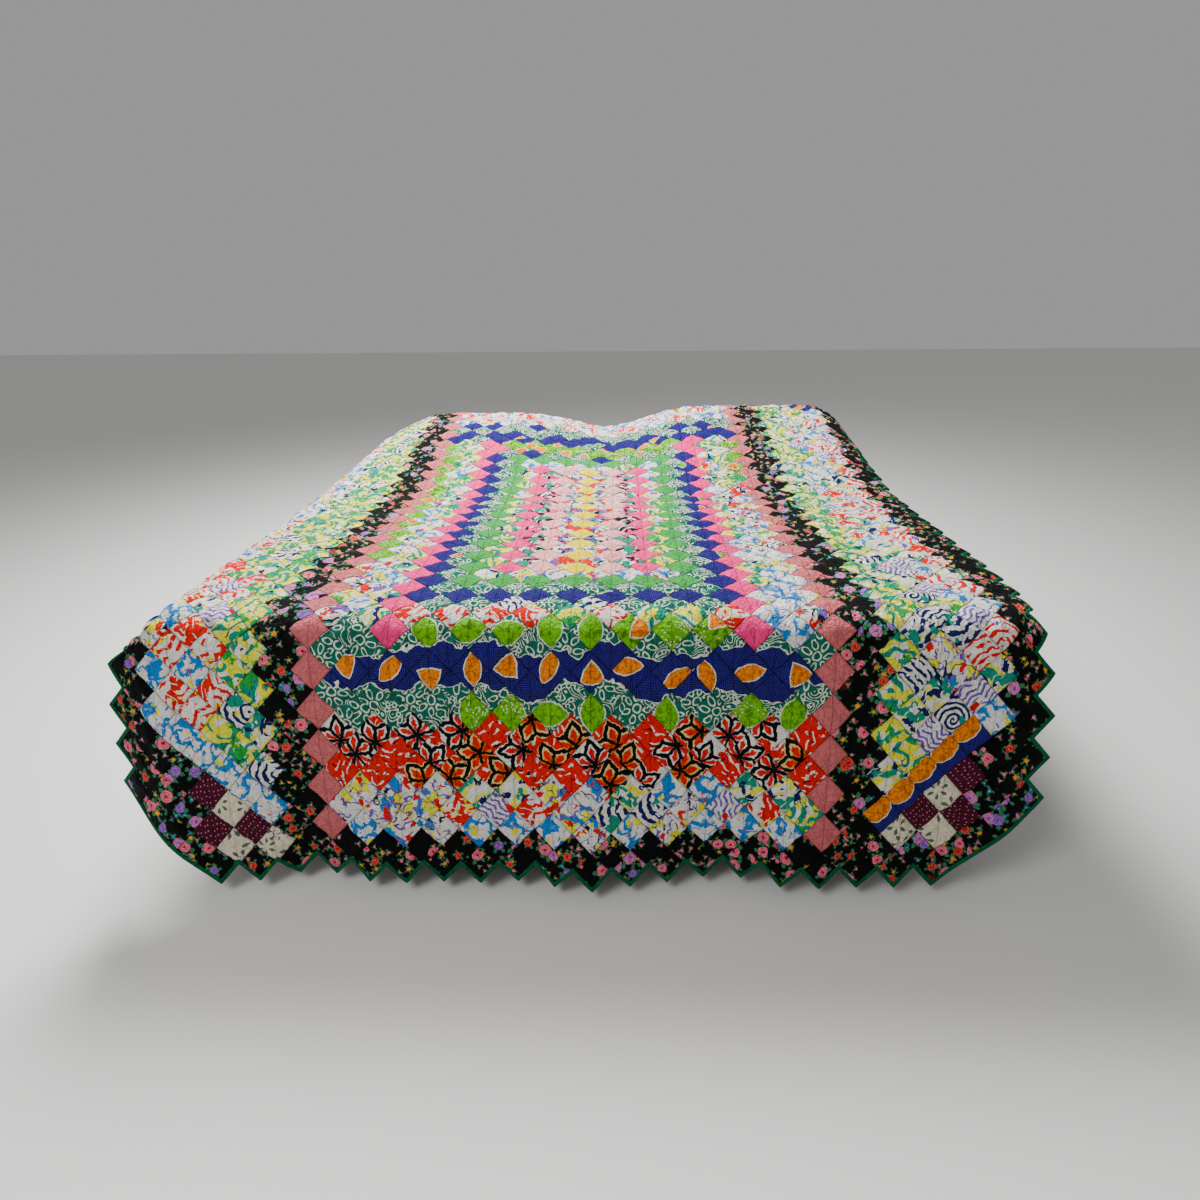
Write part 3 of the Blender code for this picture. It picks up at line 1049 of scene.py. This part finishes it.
def buildBinding():
    # a band cut along the zigzag edge, rounded over, with its turned-under edge
    bm = flatCloth(1)
    ring = set(bmesh.ops.inset_region(bm, faces=bm.faces, thickness=quilt["bindingWide"],
                                      use_boundary=True, use_even_offset=True)["faces"])
    bmesh.ops.delete(bm, geom=[face for face in bm.faces if face not in ring], context="FACES")
    across = [e for e in bm.edges if len(e.link_faces) == 1]
    bmesh.ops.subdivide_edges(bm, edges=across, cuts=5, use_grid_fill=True)
    thick = quilt["bindingThick"]
    upper = bmesh.ops.extrude_face_region(bm, geom=bm.faces[:])["geom"]
    upper = [item for item in upper if isinstance(item, bmesh.types.BMVert)]
    bmesh.ops.translate(bm, vec=(0.0, 0.0, thick), verts=upper)
    bmesh.ops.recalc_face_normals(bm, faces=bm.faces)
    sharp = [e for e in bm.edges if len(e.link_faces) == 2 and e.calc_face_angle() > 1.2]
    bevelEdges(bm, sharp, quilt["bindingRound"], 2)
    made = meshObject("bindingStrip", bm)
    mesh = made.data
    flat = readPlaces(mesh)
    lift = flat[:, 2] - thick / 2.0 + creaseLift(flat)
    writeClothUvs(mesh, atCorners(mesh, flat)[:, :2])
    writePlaces(mesh, clothPlace(flat, lift))
    mesh.flip_normals()
    return finished(made, plainCloth("bindingCloth", "bindGreen", 1.2))


bed = {
    "cornerRadius": 0.180, "topEdge": 0.074, "lowEdge": 0.030,
    "baseCorner": 0.130, "baseEdge": 0.006, "baseLowEdge": 0.004,
    "slices": 44, "wrinkle": 0.0016, "baseThreads": 420.0,
}


def roundedBlock(name, node, corner, edge, lowEdge):
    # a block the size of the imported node, with rounded corners, a soft top edge and a small low edge
    low, high = (Vector(side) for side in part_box(node))
    bm = bmesh.new()
    bmesh.ops.create_cube(bm, size=1.0)
    bmesh.ops.scale(bm, vec=high - low, verts=bm.verts)
    bmesh.ops.translate(bm, vec=(low + high) / 2.0, verts=bm.verts)
    upright = [e for e in bm.edges if abs(e.verts[0].co.z - e.verts[1].co.z) > 0.01]
    bevelEdges(bm, upright, corner, 10)
    for level, offset in ((high.z, edge), (low.z, lowEdge)):
        rim = [e for e in bm.edges if all(abs(v.co.z - level) < 1e-5 for v in e.verts)]
        bevelEdges(bm, rim, offset, 6)
    for axis, normal in enumerate(Matrix.Identity(3)):
        span = high[axis] - low[axis]
        count = max(2, int(bed["slices"] * span / (high.x - low.x)))
        for index in range(1, count):
            bmesh.ops.bisect_plane(bm, geom=bm.verts[:] + bm.edges[:] + bm.faces[:], dist=1e-5,
                                   plane_co=normal * (low[axis] + span * index / count), plane_no=normal)
    return meshObject(name, bm)


def boxUv(made):
    # cloth laid on each side from its own direction
    mesh = made.data
    each = np.repeat(np.arange(len(mesh.polygons)), [face.loop_total for face in mesh.polygons])
    normals = np.abs(np.array([face.normal[:] for face in mesh.polygons]))[each]
    x, y, z = atCorners(mesh, readPlaces(mesh)).T
    side = normals.argmax(axis=1)
    writeClothUvs(mesh, np.stack([np.where(side == 0, y, x), np.where(side == 2, y, z)], axis=1))


def buildBed():
    mattress = roundedBlock("mattressBody", "mattress", bed["cornerRadius"], bed["topEdge"], bed["lowEdge"])
    mesh = mattress.data
    places = readPlaces(mesh)
    x, y, z = places.T
    normals = np.empty(len(mesh.vertices) * 3)
    mesh.vertices.foreach_get("normal", normals)
    normals = normals.reshape(-1, 3)
    wave = np.sin(9.0 * x + 3.0 * z) * np.sin(31.0 * z + 4.0 * y) + np.sin(17.0 * y - 6.0 * x)
    writePlaces(mesh, places - normals * (bed["wrinkle"] * (1.2 + 0.5 * wave))[:, None])
    base = roundedBlock("baseBody", "bed_base", bed["baseCorner"], bed["baseEdge"], bed["baseLowEdge"])
    for block in (mattress, base):
        boxUv(block)
    scroll = layer("ringFlowers", "scroll", scale=18, share=0.5)
    return (finished(mattress, plainCloth("darkScroll", "charcoal", 0.8, scroll)),
            finished(base, plainCloth("baseCover", "baseCloth", 0.5, threads=bed["baseThreads"])))


pillow = {
    "cuts": 34, "lowPart": 0.16, "crease": 0.0022, "drawIn": 0.07, "waistX": 0.04, "waistY": 0.05,
    "sideShare": 0.02, "crownShare": 0.96,
}


def buildPillow(name, node, turnBy):
    # a fine cube pulled to a crowned pillow inside its packed box
    low, high = (Vector(side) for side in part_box(node))
    bm = bmesh.new()
    bmesh.ops.create_cube(bm, size=2.0)
    bmesh.ops.subdivide_edges(bm, edges=bm.edges, cuts=pillow["cuts"], use_grid_fill=True)
    made = meshObject(name, bm)
    mesh = made.data
    places = readPlaces(mesh)
    a = np.sin(places[:, 0] * math.pi / 2.0)
    b = np.sin(places[:, 1] * math.pi / 2.0)
    c = places[:, 2]
    middle, half = (low + high) / 2.0, (high - low) / 2.0
    seamHigh = low.z + (high.z - low.z) * pillow["lowPart"]
    swell = np.sqrt((1.0 - a ** 4) * (1.0 - b ** 4))
    drawIn = 1.0 - pillow["drawIn"] * (a * b) ** 2
    x = middle.x + half.x * a * drawIn * (1.0 - pillow["waistX"] * (1.0 - b * b))
    y = middle.y + half.y * b * drawIn * (1.0 - pillow["waistY"] * (1.0 - a * a))
    rise = np.where(c > 0.0, high.z - seamHigh, seamHigh - low.z)
    z = seamHigh + c * (pillow["sideShare"] + pillow["crownShare"] * swell) * rise
    wave = np.sin(21.0 * x + 9.0 * y + turnBy) * np.sin(13.0 * y - 5.0 * x) * swell
    z = z + np.where(c > 0.0, pillow["crease"] * (wave - 1.0), 0.0)
    writePlaces(mesh, np.stack([x, y, z], axis=1))
    boxUv(made)
    return finished(made, bpy.data.materials.get("pillowCotton") or plainCloth("pillowCotton", "pillow", 1.0))


chanceTable = np.random.default_rng(11).random((97, 97, 3))
quiltTop = buildQuilt(chanceTable)
print("quilt top", len(quiltTop.data.polygons), "faces")
quiltBack = buildBacking()
bindingStrip = buildBinding()
print("backing and binding made", len(bindingStrip.data.polygons), "binding faces")
mattressBody, baseBody = buildBed()
pillowLeft = buildPillow("pillowLeft", "pillow_left", 0.0)
pillowRight = buildPillow("pillowRight", "pillow_right", 1.7)
print("bed and pillows made")

for piece, nodes, slotName in (
        (quiltTop, ("quilt",), "quilt"), (quiltBack, (), "quilt"), (bindingStrip, ("binding",), "binding"),
        (mattressBody, ("mattress",), "mattress"), (baseBody, ("bed_base",), "bed_base"),
        (pillowLeft, ("pillow_left",), "pillow_cloth"), (pillowRight, ("pillow_right",), "pillow_cloth")):
    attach(piece, "root")
    if nodes:
        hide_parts(*nodes)

# floor, light and camera
room = {"floorHalf": 14.0, "floorColor": (0.80, 0.79, 0.77, 1.0), "worldLight": 0.34}


def buildFloor():
    bm = bmesh.new()
    bmesh.ops.create_grid(bm, x_segments=2, y_segments=2, size=room["floorHalf"])
    floor = meshObject("floor", bm)
    material, _, shader = newMaterial("floorPaint")
    shader.inputs["Base Color"].default_value = room["floorColor"]
    shader.inputs["Roughness"].default_value = 0.9
    floor.data.materials.append(material)


def addLight(name, place, aim, size, power):
    data = bpy.data.lights.new(name, "AREA")
    data.shape = "RECTANGLE"
    data.size, data.size_y = size
    data.energy = power
    light = bpy.data.objects.new(name, data)
    light.location = place
    light.rotation_euler = (Vector(aim) - Vector(place)).to_track_quat("-Z", "Y").to_euler()
    bpy.context.scene.collection.objects.link(light)


def buildLights():
    world = bpy.data.worlds.new("studio")
    world.use_nodes = True
    background = world.node_tree.nodes["Background"]
    background.inputs["Color"].default_value = (1.0, 1.0, 1.0, 1.0)
    background.inputs["Strength"].default_value = room["worldLight"]
    bpy.context.scene.world = world
    addLight("overhead", (-0.7, 1.0, 3.0), (0.0, -0.1, 0.6), (1.5, 1.2), 262.0)
    addLight("frontFill", (-1.1, -2.7, 2.7), (0.0, -1.1, 0.42), (1.0, 0.8), 38.0)


# camera place is in cells from the quilt's own zero, and above the cloth
view = {"u": 1.12, "v": 15.30, "above": 7.47, "pitch": math.radians(24.3), "yaw": math.radians(-1.43),
        "roll": math.radians(-0.5), "lens": 21.0}


def buildCamera():
    data = bpy.data.cameras.new("photoCamera")
    data.sensor_width = 36.0
    data.lens = view["lens"]
    camera = bpy.data.objects.new("photoCamera", data)
    bpy.context.scene.collection.objects.link(camera)
    turn = (Matrix.Rotation(-view["yaw"], 4, "Z") @ Matrix.Rotation(math.pi / 2.0 - view["pitch"], 4, "X")
            @ Matrix.Rotation(view["roll"], 4, "Z"))
    place = Vector(((view["u"] - lay["midU"]) * cell, (lay["midV"] - view["v"]) * cell,
                    lay["midHigh"] + view["above"] * cell))
    camera.matrix_world = Matrix.Translation(place) @ turn
    bpy.context.scene.camera = camera


buildFloor()
buildLights()
buildCamera()
print("stage ready")
